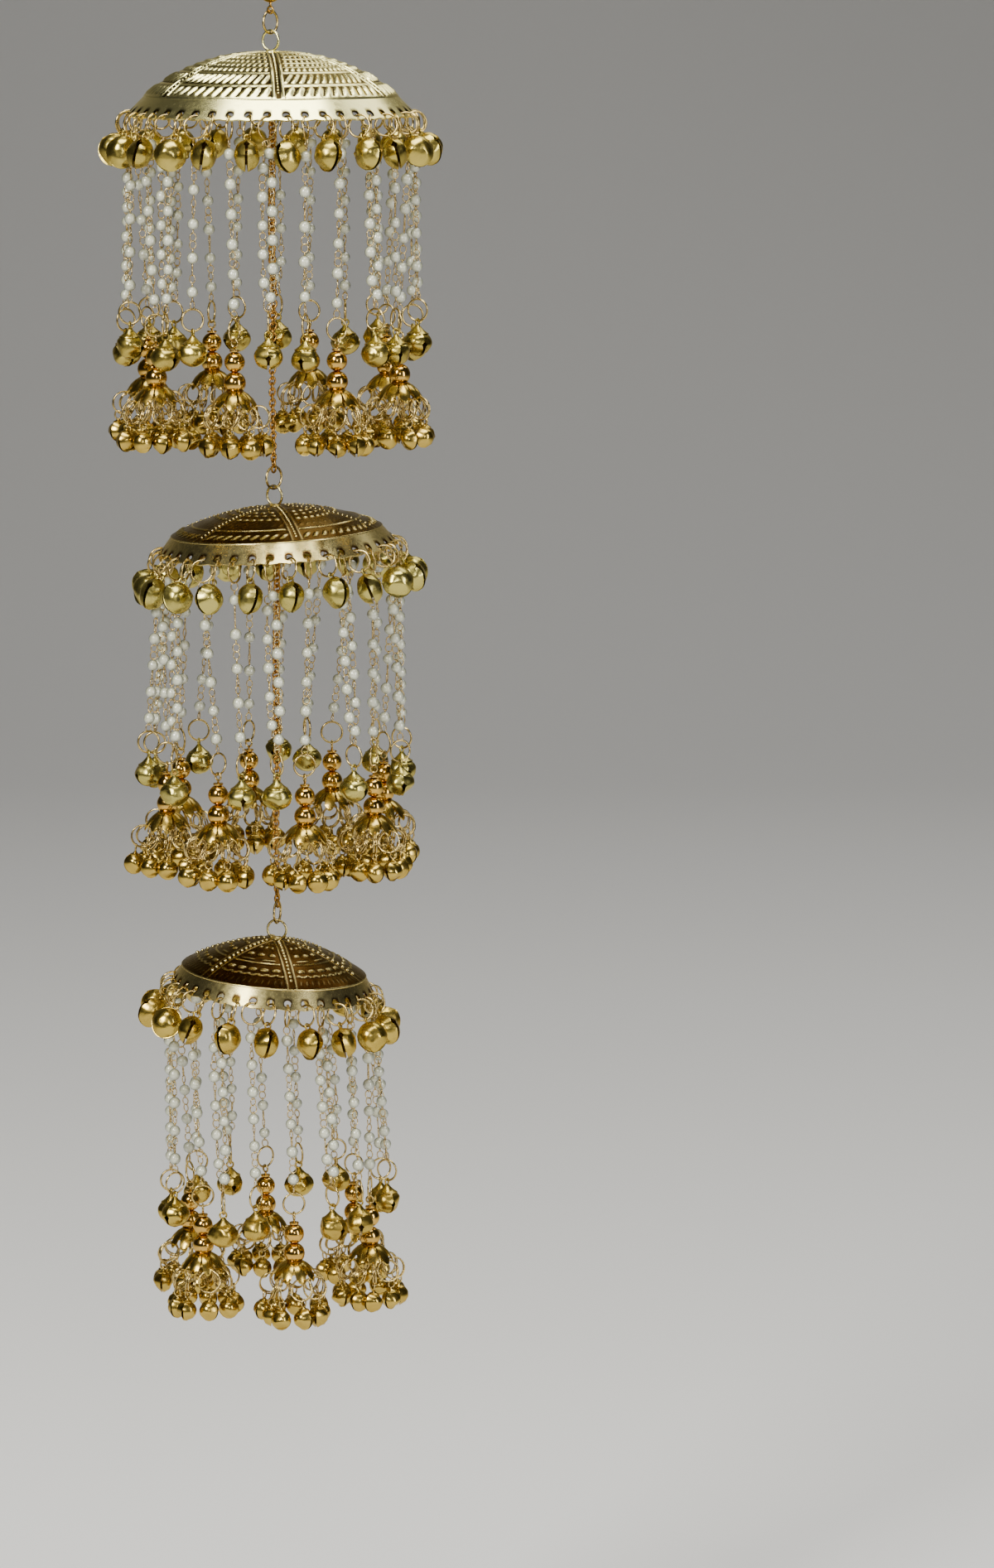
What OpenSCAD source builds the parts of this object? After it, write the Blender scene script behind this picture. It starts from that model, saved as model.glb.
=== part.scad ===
// Kalire: a bridal hand ornament of three domes, one under the other on a chain,
// each with a curtain of pearl strings, bells and bell tassels round its rim.
// Millimetres. +Z is up, -Y is the front, and the origin is where the top ring hangs.

/* [Hanging hardware] */
// Outer diameter of the plain ring that the ornament hangs on
hang_ring_d = 10; // [8:0.5:14]
// Wire of the hanging ring
hang_wire_d = 1; // [0.8:0.1:1.4]
// Diameter of the gold bead above the first dome
top_bead_d = 6; // [4:0.5:8]
// Outer diameter of the link above each dome
link_d = 6.8; // [6:0.1:8]
// Outer diameter of the loop soldered on each dome
loop_d = 6.2; // [5.6:0.1:7]
// Wire of the links and loops
link_wire_d = 0.68; // [0.5:0.02:0.8]
// Free play where one ring hangs in another
play = 0.12; // [0.1:0.01:0.2]
// Turn of each link about the vertical, tier 1 to 3
link_turn = [54, 50, 75]; // [0:1:90]

/* [Tiers] */
// Distance from each tier's hanging point to the next one's
tier_pitch = [125.2, 123.1]; // [115:0.1:140]
// Radius of each dome at its eave
eave_r = [34.8, 29.4, 26]; // [20:0.1:40]
// Height of each dome from its eave to its apex
dome_rise = [11.6, 6.7, 8.8]; // [5:0.1:15]
// Power of each dome's curve: higher is flatter at the apex
dome_curve = [2.4, 2, 1.75]; // [1.5:0.05:3]
// Lean of each dome on its loop, right side down positive
dome_lean = [0, -3, 4.5]; // [-6:0.5:6]
// Distance from a tier's hanging point down to its apex
apex_drop = [5.1, 4.8, 4.5]; // [4:0.1:5.2]
// Turn of the first radial rib of each dome, from the front
rib_turn = [6, 14, 14]; // [0:1:59]

/* [Skirt] */
// Number of holes round each skirt, even
hole_count = [48, 40, 36]; // [24:2:56]
// Radius of each circle of holes
hole_circle_r = [38.6, 32.2, 27.8]; // [22:0.1:42]
// Height from each eave down to its holes
hole_drop = [4.3, 4.1, 3.9]; // [3:0.1:6]
// Diameter of a hole
hole_d = 2.1; // [1.8:0.1:2.4]
// Sheet metal of domes and skirts
sheet = 0.5; // [0.4:0.05:0.8]
// Width of the strip of skirt below the holes
hem = 1.8; // [1.5:0.1:2.2]
// Turn of the first hole of each skirt, from the front
hole_turn = [23.5, 8, 1]; // [0:0.5:45]

/* [Relief] */
// Number of radial ribs on a dome
rib_count = 6; // [4:1:8]
// Width of a rib, over both of its raised lines
rib_w = 3.2; // [2:0.1:4]
// Height of the raised lines
relief_h = 0.35; // [0.2:0.05:0.5]
// Slanted gadroons in each sector between two ribs
gadroons = [9, 8, 7]; // [5:1:10]
// Places of the raised rings, as shares of the eave's radius
ridge_at = [0.2, 0.42, 0.64, 0.85]; // [0.1:0.01:0.9]

/* [Rim bells and jump rings] */
// Outer diameter of the jump rings in the holes
jump_ring_d = 6.6; // [6:0.1:7]
// Wire of the jump rings
ring_wire_d = 0.6; // [0.5:0.02:0.66]
// Width of a bell over its slit
bell_w = 8.5; // [7:0.1:9]
// Thickness of a bell across its slit
bell_t = 6; // [5:0.1:7]
// Sheet metal of a bell
bell_sheet = 0.4; // [0.3:0.05:0.5]
// Outward lean of the bells on each tier
bell_lean = [24, 28, 29]; // [20:1:35]

/* [Pearl strings] */
// Diameter of a string's outer form
string_d = 3.2; // [3:0.1:3.4]
// Widest part of a pair of strands, in string diameters
pair_w = 1.8; // [1.4:0.1:2]
// Length from a hole down to the end of a string that bears a bell
string_len = 58; // [48:0.5:60]
// Outward lean of the strings' rings on each tier
string_lean = [4, 10, 10]; // [0:1:20]
// Radius where the strings end
string_foot_r = [40.2, 35.4, 30.8]; // [26:0.1:42]
// Diameter of the chain's outer form between two tiers
chain_d = 2; // [1.8:0.1:2.4]

/* [Tassels] */
// Number of tassels on each tier
tassel_count = [8, 8, 6]; // [6:1:8]
// Radius where the tassels hang
tassel_r = [36.3, 31.4, 27.5]; // [24:0.1:40]
// Diameter of the two beads of a tassel
tassel_bead_d = 5.8; // [5:0.1:6.2]
// Number of bells in a tassel
tassel_bells = 9; // [6:1:9]
// Diameter of a tassel's bell
tassel_bell_d = 5.8; // [5:0.1:6]

/* [Hidden] */
TIERS = [0, 1, 2];
$fn = 32;

// Hanging hardware: centres on the axis, from the top down
hang_mean_r = (hang_ring_d - hang_wire_d) / 2;
hang_ring_z = -(hang_mean_r - hang_wire_d / 2);
eye_wire_d = 0.56;
eye_mean_r = 0.93;
hang_rest_z = hang_ring_z - hang_mean_r;
top_eye_z = hang_rest_z + hang_wire_d / 2 + play - (eye_mean_r + 0.32 - eye_wire_d / 2);
top_eye_mean_r = eye_mean_r + 0.32;
bead_z = -14.2;
link_mean_r = (link_d - link_wire_d) / 2;
link_top_z = -19.38;
low_eye_z = link_top_z - link_wire_d / 2 - play - eye_wire_d / 2 + eye_mean_r;
hinge_1_z = link_top_z - 2 * link_mean_r;
hinge_z = [hinge_1_z, hinge_1_z - tier_pitch[0], hinge_1_z - tier_pitch[0] - tier_pitch[1]];

// Each dome's loop rests on its link's lowest wire, which is also the hinge
loop_mean_r = (loop_d - link_wire_d) / 2;
loop_z = link_wire_d + play - loop_mean_r;
boss_r = 1.7;
boss_sink = 0.3;
inner_boss_h = 1.3;

// Jump rings and bells, measured down from the wire's place in a hole
ring_mean_r = (jump_ring_d - ring_wire_d) / 2;
ring_rest = 0.35;
bell_eye_wire_d = 0.54;
bell_eye_mean_r = 0.95;
bell_eye_drop = 2 * ring_mean_r + bell_eye_mean_r - (ring_wire_d + bell_eye_wire_d) / 2 - play;
bell_cone_h = 1;
bell_cone_z = -0.75;
bell_body_drop = bell_eye_mean_r + bell_w / 2 - 0.4;
lens_r = (pow(bell_w / 2, 2) + pow(bell_t / 2, 2)) / bell_t;
lens_shift = lens_r - bell_t / 2;
bell_slit_w = 0.6;

// The tassel, measured down from the top of its end ring
tassel_end_drop = 54;
pin_eye_mean_r = 1;
pin_eye_z = -ring_wire_d / 2 - 2 * ring_mean_r - 0.5;
washer_z = pin_eye_z - pin_eye_mean_r - 1.3;
bead_1_z = washer_z - tassel_bead_d / 2 + 0.1;
bead_2_z = bead_1_z - tassel_bead_d + 0.2;
cap_z = bead_2_z - tassel_bead_d / 2 - 0.3;
cap_r = 5.2;
cap_h = 3.6;
small_ring_mean_r = 3.1;
small_wire_d = 0.54;
small_ring_lean = 30;
small_neck_d = 1;
small_neck_h = 2.3;

// Chain between two tiers
inner_eye_z = -1.85;
inner_eye_mean_r = 1;
seat_gap = 0.15;

// Strings: clearance under the hem, and where they leave their rings
string_clearance = 0.3;
string_knee = 6.6;

// A point of a tier at radius r, angle a from the front and height z
function round_point(r, a, z) = [r * sin(a), -r * cos(a), z];

// A point of a leaning dome, turned about the tier's hanging point
function lean_point(t, p) = [
    p[0] * cos(dome_lean[t]) + p[2] * sin(dome_lean[t]),
    p[1],
    p[2] * cos(dome_lean[t]) - p[0] * sin(dome_lean[t])
];

// Height of a dome's outer face at radius r, measured from its hanging point
function dome_z(t, r) = -apex_drop[t] - dome_rise[t] * pow(r / eave_r[t], dome_curve[t]);

// Skirt: a cone from the eave outwards, through the circle of holes, to its hem
function eave_z(t) = -apex_drop[t] - dome_rise[t];
function skirt_top_r(t) = eave_r[t] - 0.5;
function hole_z(t) = eave_z(t) - hole_drop[t];
function skirt_out(t) = hole_circle_r[t] - skirt_top_r(t);
function skirt_len(t) = norm([skirt_out(t), hole_drop[t]]);
function down_skirt(t) = [skirt_out(t), -hole_drop[t]] / skirt_len(t);
function off_skirt(t) = [hole_drop[t], skirt_out(t)] / skirt_len(t);
function hem_point(t) = [hole_circle_r[t], hole_z(t)] + hem * down_skirt(t);

function hole_angle(t, h) = hole_turn[t] + h * 360 / hole_count[t];
function string_count(t) = hole_count[t] / 2;

// Small steady differences from one piece to the next, between -1 and 1
function vary(i, seed) = sin(i * 137.5 + seed);

// Strings that end in a tassel, as evenly spread as the count allows
function tassel_string(t, k) = floor(k * string_count(t) / tassel_count[t] + 0.01);
function has_tassel(t, s) =
    len([for (k = [0 : tassel_count[t] - 1]) if (tassel_string(t, k) == s) k]) > 0;

function string_hole(s) = 2 * s + 1;
function last_tassel(t, s) = max([for (k = [0 : tassel_count[t] - 1]) if (tassel_string(t, k) <= s) k]);
function foot_angle(t, s) =
    let (k = last_tassel(t, s), from = tassel_string(t, k), to = tassel_string(t, k + 1))
    hole_angle(t, string_hole(0)) + (k + (s - from) / (to - from)) * 360 / tassel_count[t];
function string_angle(t, s) = foot_angle(t, s) + (has_tassel(t, s) ? 0 : 1.2 * vary(s, 40));
function string_end(t, s) = has_tassel(t, s) ? tassel_end_drop : string_len + 1.4 * vary(s, 75);
function string_foot(t, s) = has_tassel(t, s)
    ? round_point(tassel_r[t], string_angle(t, s), hole_z(t) - string_end(t, s))
    : round_point(string_foot_r[t] + 0.4 * vary(s, 10), string_angle(t, s), hole_z(t) - string_end(t, s));

// Point of a string's ring, so far down from its hole
function string_ring_point(t, s, down) = lean_point(t, round_point(
    hole_circle_r[t] + down * sin(string_lean[t]),
    hole_angle(t, string_hole(s)),
    hole_z(t) - down * cos(string_lean[t])));

// How far below its hole a string starts, just clear of the hem that carries its ring
function string_start(t) =
    (-hem * down_skirt(t)[1] + sheet / 2 * off_skirt(t)[1] + string_clearance) / cos(string_lean[t]);

// A string's route: down its ring, then to its foot
function string_route(t, s) =
    let (
        top = string_ring_point(t, s, string_start(t)),
        knee = string_ring_point(t, s, string_knee),
        foot = string_foot(t, s)
    ) [top, knee, (knee + foot) / 2, foot];

// Every third bell string is a pair of strands side by side
function is_pair(t, s) = s % 3 == 1 && !has_tassel(t, s);

// A string's width at the four stations of its route
function string_widths(t, s) = is_pair(t, s) ? [1, 1.25, pair_w, 1.3] * string_d : [1, 1, 1, 1] * string_d;

// The chain's route, as sideways steps at even heights
CHAIN_ROUTE = [[0, 0], [0.3, -0.2], [-0.2, 0.3], [0.2, 0.2], [-0.3, -0.1], [0, 0]];
SWEEP_SIDES = 8;

// A tube along a route that runs downwards, as one polyhedron; widths are across the turned section
module sweep_tube(route, widths, d, turn = 0) {
    rings = len(route);
    across = [cos(turn), sin(turn), 0];
    along = [-sin(turn), cos(turn), 0];
    points = [for (j = [0 : rings - 1]) for (i = [0 : SWEEP_SIDES - 1])
        let (a = (i + 0.5) * 360 / SWEEP_SIDES)
        route[j] + widths[j] / 2 * cos(a) * across + d / 2 * sin(a) * along];
    walls = [for (j = [0 : rings - 2]) for (i = [0 : SWEEP_SIDES - 1])
        let (a = j * SWEEP_SIDES + i, b = j * SWEEP_SIDES + (i + 1) % SWEEP_SIDES)
        [a, b, b + SWEEP_SIDES, a + SWEEP_SIDES]];
    top = [for (i = [SWEEP_SIDES - 1 : -1 : 0]) i];
    bottom = [for (i = [0 : SWEEP_SIDES - 1]) (rings - 1) * SWEEP_SIDES + i];
    polyhedron(points, concat([top], walls, [bottom]));
}

// A round ring of wire that stands in the XZ plane
module wire_ring(mean_r, wire_d) {
    rotate([90, 0, 0]) rotate_extrude() translate([mean_r, 0]) circle(d = wire_d);
}

module hang_ring() {
    color("gold") translate([0, 0, hang_ring_z]) wire_ring(hang_mean_r, hang_wire_d);
}

// The bead on its pin, with an eye turned at either end
module top_bead() {
    color("goldenrod") union() {
        translate([0, 0, bead_z]) sphere(d = top_bead_d);
        translate([0, 0, top_eye_z]) rotate([0, 0, 90]) wire_ring(top_eye_mean_r, eye_wire_d);
        translate([0, 0, low_eye_z]) rotate([0, 0, link_turn[0] - 90]) wire_ring(eye_mean_r, eye_wire_d);
        translate([0, 0, low_eye_z + eye_mean_r])
            cylinder(d = eye_wire_d + 0.1, h = top_eye_z - top_eye_mean_r - low_eye_z - eye_mean_r);
    }
}

// The jump ring above a dome, whose lowest wire is the tier's hanging point
module link_above(t) {
    color("gold") translate([0, 0, hinge_z[t] + link_mean_r]) rotate([0, 0, link_turn[t]])
        wire_ring(link_mean_r, link_wire_d);
}

// Outer outline of a dome with its raised rings, from the apex to the eave
function ridge_points(t, r) = [
    [r - 0.45, dome_z(t, r - 0.45)], [r - 0.2, dome_z(t, r - 0.2) + relief_h],
    [r + 0.2, dome_z(t, r + 0.2) + relief_h], [r + 0.45, dome_z(t, r + 0.45)]
];
function between(t, i) = let (
    from = ridge_at[i] * eave_r[t],
    to = (i + 1 < len(ridge_at) ? ridge_at[i + 1] : 1) * eave_r[t],
    middle = (from + to) / 2
) [middle, dome_z(t, middle)];
function outer_outline(t) = concat(
    [[0, dome_z(t, 0)], [0.1 * eave_r[t], dome_z(t, 0.1 * eave_r[t])]],
    [for (i = [0 : len(ridge_at) - 1]) each concat(
        ridge_points(t, ridge_at[i] * eave_r[t]),
        i < len(ridge_at) - 1 ? [between(t, i)] : [])],
    [[eave_r[t], eave_z(t)], [eave_r[t], eave_z(t) - 0.45]]
);
INNER_SHARES = [1, 0.85, 0.65, 0.45, 0.25, 0];
dome_wall = 1.3 * sheet;

// Section of a dome and its skirt
module dome_section(t) {
    out = sheet / 2 * off_skirt(t);
    skirt_top = [skirt_top_r(t), eave_z(t)];
    inner_r = skirt_top_r(t) - 0.2;
    polygon(concat(
        outer_outline(t),
        [skirt_top + out - [0, 0.45], hem_point(t) + out, hem_point(t) - out,
            skirt_top - out - [0, 0.6]],
        [for (share = INNER_SHARES) [inner_r * share, dome_z(t, inner_r * share) - dome_wall]]
    ));
}

// A thin layer on a dome's outer face, that the ribs are cut from
module relief_layer(t) {
    inside = [0.04, 0.2, 0.4, 0.6, 0.8, 0.98] * eave_r[t];
    rotate_extrude() polygon(concat(
        [for (r = inside) [r, dome_z(t, r) + relief_h + 0.05]],
        [for (i = [len(inside) - 1 : -1 : 0]) [inside[i], dome_z(t, inside[i]) - 0.25]]
    ));
}

module ribs(t) {
    line_w = 0.7;
    intersection() {
        relief_layer(t);
        for (k = [0 : rib_count - 1]) rotate([0, 0, rib_turn[t] + k * 360 / rib_count])
            for (side = [-1, 1]) translate([side * (rib_w - line_w) / 2 - line_w / 2, -eave_r[t] - 1, -30])
                cube([line_w, eave_r[t], 30]);
    }
}

// Slanted leaves pressed into the sheet between the last raised ring and the eave
module gadroon_row(t) {
    inner_r = 0.865 * eave_r[t];
    outer_r = 0.99 * eave_r[t];
    drop = dome_z(t, inner_r) - dome_z(t, outer_r);
    steep = atan2(drop, outer_r - inner_r);
    sector = 360 / rib_count;
    free = sector - 2 * asin(rib_w / 2 / inner_r);
    for (k = [0 : rib_count - 1]) for (g = [0 : gadroons[t] - 1])
        rotate([0, 0, rib_turn[t] + k * sector + (sector - free) / 2 + (g + 0.5) * free / gadroons[t]])
            translate([0, -inner_r, dome_z(t, inner_r) - 0.35])
                rotate([90 + steep, 0, 16]) cylinder(r = 0.95, h = norm([drop, outer_r - inner_r]), $fn = 6);
}

module skirt_holes(t) {
    for (h = [0 : hole_count[t] - 1]) rotate([0, 0, hole_angle(t, h)])
        translate([0, -hole_circle_r[t], hole_z(t)]) rotate([atan2(hole_drop[t], skirt_out(t)), 0, 0])
            cylinder(d = hole_d, h = 3, center = true);
}

// A dome with its skirt, relief, top loop and, on the upper two, the eye that the chain hangs on
module dome(t) {
    color(t == 0 ? "khaki" : "darkgoldenrod") translate([0, 0, hinge_z[t]]) rotate([0, dome_lean[t], 0]) {
        difference() {
            union() {
                rotate_extrude() dome_section(t);
                ribs(t);
                gadroon_row(t);
                translate([0, 0, loop_z]) rotate([0, 0, link_turn[t] + 90]) wire_ring(loop_mean_r, link_wire_d);
                translate([0, 0, -apex_drop[t] - boss_sink]) cylinder(r1 = boss_r, r2 = boss_r / 2, h = 3 * boss_sink);
                if (t < 2) {
                    translate([0, 0, -apex_drop[t] - inner_boss_h]) cylinder(r = boss_r / 2, h = inner_boss_h - 0.2);
                    translate([0, 0, -apex_drop[t] + inner_eye_z]) wire_ring(inner_eye_mean_r, link_wire_d);
                }
            }
            skirt_holes(t);
        }
    }
}

// The chain's outer form, from the eye inside a dome to the link above the next one
module chain(t) {
    eye_bottom = hinge_z[t] - apex_drop[t] + inner_eye_z - inner_eye_mean_r - link_wire_d / 2;
    top_z = eye_bottom - seat_gap;
    foot_z = hinge_z[t + 1] + 2 * link_mean_r + link_wire_d / 2 + seat_gap;
    start_x = -sin(dome_lean[t]) * (apex_drop[t] - inner_eye_z + inner_eye_mean_r);
    last = len(CHAIN_ROUTE) - 1;
    color("peru") sweep_tube([for (i = [0 : last])
        [CHAIN_ROUTE[i][0] + start_x * (1 - i / last), CHAIN_ROUTE[i][1], top_z + (foot_z - top_z) * i / last]],
        [for (step = CHAIN_ROUTE) chain_d], chain_d);
}

// Puts its children in hole h of tier t, hanging down its own -Z, leaning out and a little sideways
module in_hole(t, h, out, side, turn) {
    down = ring_rest * down_skirt(t);
    translate([0, 0, hinge_z[t]]) rotate([0, dome_lean[t], 0]) rotate([0, 0, hole_angle(t, h)])
        translate([0, -hole_circle_r[t] - down[0], hole_z(t) + down[1]])
            rotate([-out, 0, 0]) rotate([0, side, 0]) rotate([0, 0, turn]) children();
}

module rim_ring_place(t, s) {
    in_hole(t, 2 * s, bell_lean[t] + 2 * vary(s, 0), 2 * vary(s, 100), 32 + 4 * vary(s, 60)) children();
}

module rim_rings(t) {
    color("lightgoldenrodyellow") for (s = [0 : string_count(t) - 1]) rim_ring_place(t, s)
        translate([0, 0, -ring_mean_r]) rotate([0, 0, 90]) wire_ring(ring_mean_r, ring_wire_d);
}

// Half of what two circles of radius r share, for turning about Y
module lens_half(r) {
    intersection() {
        translate([0, -lens_shift]) circle(r = r);
        translate([0, lens_shift]) circle(r = r);
        translate([0, -r]) square([r, 2 * r]);
    }
}

// A clam-shaped bell, hung by its eye at the origin: two bulged halves with a slit round the lower edge
module bell() {
    union() {
        translate([0, 0, -bell_body_drop]) difference() {
            rotate([0, 90, 0]) rotate_extrude() difference() {
                lens_half(lens_r);
                lens_half(lens_r - bell_sheet);
            }
            translate([-bell_slit_w / 2, -bell_w, -bell_w]) cube([bell_slit_w, 2 * bell_w, bell_w + 0.9]);
        }
        translate([0, 0, bell_cone_z - bell_cone_h]) cylinder(r1 = 1.5, r2 = 0.55, h = bell_cone_h);
    }
}

module hung_bell(body_turn) {
    union() {
        wire_ring(bell_eye_mean_r, bell_eye_wire_d);
        rotate([0, 0, body_turn]) bell();
    }
}

module rim_bells(t) {
    color("gold") for (s = [0 : string_count(t) - 1]) rim_ring_place(t, s)
        translate([0, 0, -bell_eye_drop]) hung_bell(-35 + 45 * vary(s, 20));
}

module pearl_strings(t) {
    color("ivory") translate([0, 0, hinge_z[t]]) for (s = [0 : string_count(t) - 1])
        sweep_tube(string_route(t, s), string_widths(t, s), string_d, string_angle(t, s));
}

// The bells that close the strings without a tassel
module end_bells(t) {
    color("gold") translate([0, 0, hinge_z[t]]) for (s = [0 : string_count(t) - 1]) if (!has_tassel(t, s))
        translate(string_foot(t, s) - [0, 0, seat_gap + bell_eye_mean_r + bell_eye_wire_d / 2])
            rotate([0, 0, string_angle(t, s) + 40 * vary(s, 33)]) hung_bell(20 + 60 * vary(s, 55));
}

// Cap over a tassel's bells: a fluted cone, thin at its lower edge
module tassel_cap() {
    rotate_extrude() polygon([
        [0, 0], [0.4 * cap_r, -0.12 * cap_h], [0.75 * cap_r, -0.45 * cap_h], [cap_r, -cap_h],
        [0.9 * cap_r, -cap_h], [0.64 * cap_r, -0.58 * cap_h], [0.35 * cap_r, -0.32 * cap_h], [0, -0.26 * cap_h]
    ]);
}

// A small bell of a tassel with its neck, hung at the origin
module tassel_bell() {
    r = tassel_bell_d / 2;
    translate([0, 0, -small_neck_h - r]) sphere(r = r);
    translate([0, 0, -small_neck_h - 0.3]) cylinder(d = small_neck_d, h = small_neck_h + 0.5);
}

// A flat-sided ring in the XZ plane, round the origin
module flat_ring(mean_r, wire_d) {
    rotate([90, 0, 0]) difference() {
        cylinder(r = mean_r + wire_d / 2, h = wire_d, center = true);
        cylinder(r = mean_r - wire_d / 2, h = 2 * wire_d, center = true);
    }
}

// A tassel, hung by the top of its end ring: two beads on a pin, a cap, and bells on jump rings
module tassel_form() {
    union() {
        translate([0, 0, -ring_mean_r - ring_wire_d / 2]) wire_ring(ring_mean_r, ring_wire_d);
        translate([0, 0, pin_eye_z]) rotate([0, 0, 90]) wire_ring(pin_eye_mean_r, ring_wire_d);
        translate([0, 0, cap_z - 0.3]) cylinder(d = ring_wire_d, h = pin_eye_z - pin_eye_mean_r - cap_z + 0.3);
        translate([0, 0, washer_z]) cylinder(r = 1.3, h = 0.35);
        translate([0, 0, bead_1_z]) sphere(d = tassel_bead_d);
        translate([0, 0, bead_2_z]) sphere(d = tassel_bead_d);
        translate([0, 0, cap_z]) tassel_cap();
        for (k = [0 : tassel_bells - 1]) rotate([0, 0, k * 360 / tassel_bells])
            translate([cap_r - 0.1, 0, cap_z - cap_h + 0.3]) rotate([0, -small_ring_lean, 0]) {
                translate([0, 0, -small_ring_mean_r]) rotate([0, 0, 30]) flat_ring(small_ring_mean_r, small_wire_d);
                translate([0, 0, -2 * small_ring_mean_r]) rotate([0, small_ring_lean, 0]) tassel_bell();
            }
    }
}

module tassel(t, k) {
    s = tassel_string(t, k);
    color("darkorange") translate([0, 0, hinge_z[t]]) translate(string_foot(t, s) - [0, 0, seat_gap])
        rotate([0, 0, string_angle(t, s) + 11 * k]) tassel_form();
}

function number(i) = str(i + 1);

hang_ring();
top_bead();
link_above(0);  // top_link
for (t = TIERS) {
    dome(t);
    if (t < 2) {
        chain(t);
        link_above(t + 1);
    }
    rim_rings(t);
    rim_bells(t);
    pearl_strings(t);
    end_bells(t);
    for (k = [0 : tassel_count[t] - 1])
        tassel(t, k);
}
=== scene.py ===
import math
import random

import bmesh
import bpy
from mathutils import Matrix, Vector, noise


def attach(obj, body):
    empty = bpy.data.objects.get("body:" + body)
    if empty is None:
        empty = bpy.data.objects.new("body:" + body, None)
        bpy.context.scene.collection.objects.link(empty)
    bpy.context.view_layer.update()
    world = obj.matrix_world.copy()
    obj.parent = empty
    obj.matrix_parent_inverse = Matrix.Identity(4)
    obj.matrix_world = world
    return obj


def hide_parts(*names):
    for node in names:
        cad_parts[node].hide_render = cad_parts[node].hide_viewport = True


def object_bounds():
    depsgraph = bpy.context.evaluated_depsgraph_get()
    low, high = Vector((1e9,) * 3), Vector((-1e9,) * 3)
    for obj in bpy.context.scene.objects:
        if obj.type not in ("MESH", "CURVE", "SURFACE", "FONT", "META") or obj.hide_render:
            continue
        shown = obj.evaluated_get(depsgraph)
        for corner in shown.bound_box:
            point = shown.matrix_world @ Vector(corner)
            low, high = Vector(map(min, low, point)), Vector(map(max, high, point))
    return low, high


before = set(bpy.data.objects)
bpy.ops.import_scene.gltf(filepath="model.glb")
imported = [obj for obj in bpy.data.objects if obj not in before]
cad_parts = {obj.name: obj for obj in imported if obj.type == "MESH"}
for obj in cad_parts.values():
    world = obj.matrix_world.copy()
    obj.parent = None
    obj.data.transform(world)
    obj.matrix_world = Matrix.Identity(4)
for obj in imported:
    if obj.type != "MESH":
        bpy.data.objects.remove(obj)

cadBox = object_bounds()
scene = bpy.context.scene
rad = math.radians
metresPerMm = 0.001
tierNumbers = [0, 1, 2]

# The camera stands where the photograph's did: above the middle of the ornament, looking down
cameraSpot = {
    "place": (0.062, -1.363, -0.0001),
    "pitch": 9.74,  # degrees below level
    "focalPixels": 5942,
    "imageHeight": 1893,
    "sensorHeight": 24.0,
}


def newObject(name, data):
    made = bpy.data.objects.new(name, data)
    scene.collection.objects.link(made)
    return made


def addCamera(spot):
    data = bpy.data.cameras.new("camera")
    data.sensor_fit = "VERTICAL"
    data.sensor_height = spot["sensorHeight"]
    data.lens = spot["sensorHeight"] * spot["focalPixels"] / spot["imageHeight"]
    data.clip_end = 200
    camera = newObject("camera", data)
    camera.location = spot["place"]
    camera.rotation_euler = (rad(90 - spot["pitch"]), 0, 0)
    scene.camera = camera


addCamera(cameraSpot)
print("camera placed")


def setNode(tree, nodes, node, values):
    # A value is a setting of the node, what an input starts with, or the node and output it is linked to
    for key, value in values.items():
        if isinstance(key, str) and hasattr(node, key):
            setattr(node, key, value)
        elif isinstance(value, tuple) and isinstance(value[0], str):
            tree.links.new(nodes[value[0]].outputs[value[1]], node.inputs[key])
        else:
            node.inputs[key].default_value = value


nodeSpacing = 220


def addNodes(tree, rows):
    # Rows: name, kind (a shader node's without its prefix), values
    nodes = {}
    for name, kind, values in rows:
        node = tree.nodes.new(kind if "Node" in kind else "ShaderNode" + kind)
        node.location = (nodeSpacing * len(nodes), 0)
        nodes[name] = node
        setNode(tree, nodes, node, values)
    return nodes


def newMaterial(name, values, rows=()):
    material = bpy.data.materials.new(name)
    material.use_nodes = True
    tree = material.node_tree
    setNode(tree, addNodes(tree, rows), tree.nodes["Principled BSDF"], values)
    return material


def newTree(name, kind, inputs, outputs, rows):
    tree = bpy.data.node_groups.new(name, kind)
    for way, sockets in (("INPUT", inputs), ("OUTPUT", outputs)):
        for label, socketKind, *start in sockets:
            socket = tree.interface.new_socket(label, in_out=way, socket_type="NodeSocket" + socketKind)
            if start:
                socket.default_value = start[0]
    addNodes(tree, [("given", "NodeGroupInput", {})] + rows)
    return tree


# Pale floor that curves up into a backdrop, and soft boxes round the ornament
studio = {
    "floorDrop": 0.16,  # from the lowest bell to the floor
    "halfWidth": 6.0,
    "depth": 3.0,
    "bend": 1.2,
    "bendSteps": 16,
    "height": 6.0,
    "paper": {"Base Color": (0.80, 0.79, 0.77, 1), "Roughness": 0.9},
    "world": (0.03, 0.029, 0.028, 1),
    # name, place, size across and up, watts, colour
    "boxes": [
        ("keyBox", (-0.55, -0.85, 0.42), (0.26, 0.5), 17.0, (1.0, 0.99, 0.93)),
        ("fillBox", (0.8, -0.7, 0.0), (0.16, 0.8), 6.5, (0.98, 0.98, 1.0)),
        ("topBox", (0.05, -0.1, 0.7), (0.66, 0.52), 12.0, (1.0, 0.99, 0.93)),
        ("frontStrip", (0.14, -1.25, 0.16), (0.08, 0.4), 2.6, (1.0, 1.0, 1.0)),
        ("floorBox", (0.6, 1.2, 1.4), (1.4, 1.0), 14.0, (1.0, 1.0, 1.0)),
    ],
    "aim": (0, 0, -0.2),
}


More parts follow.
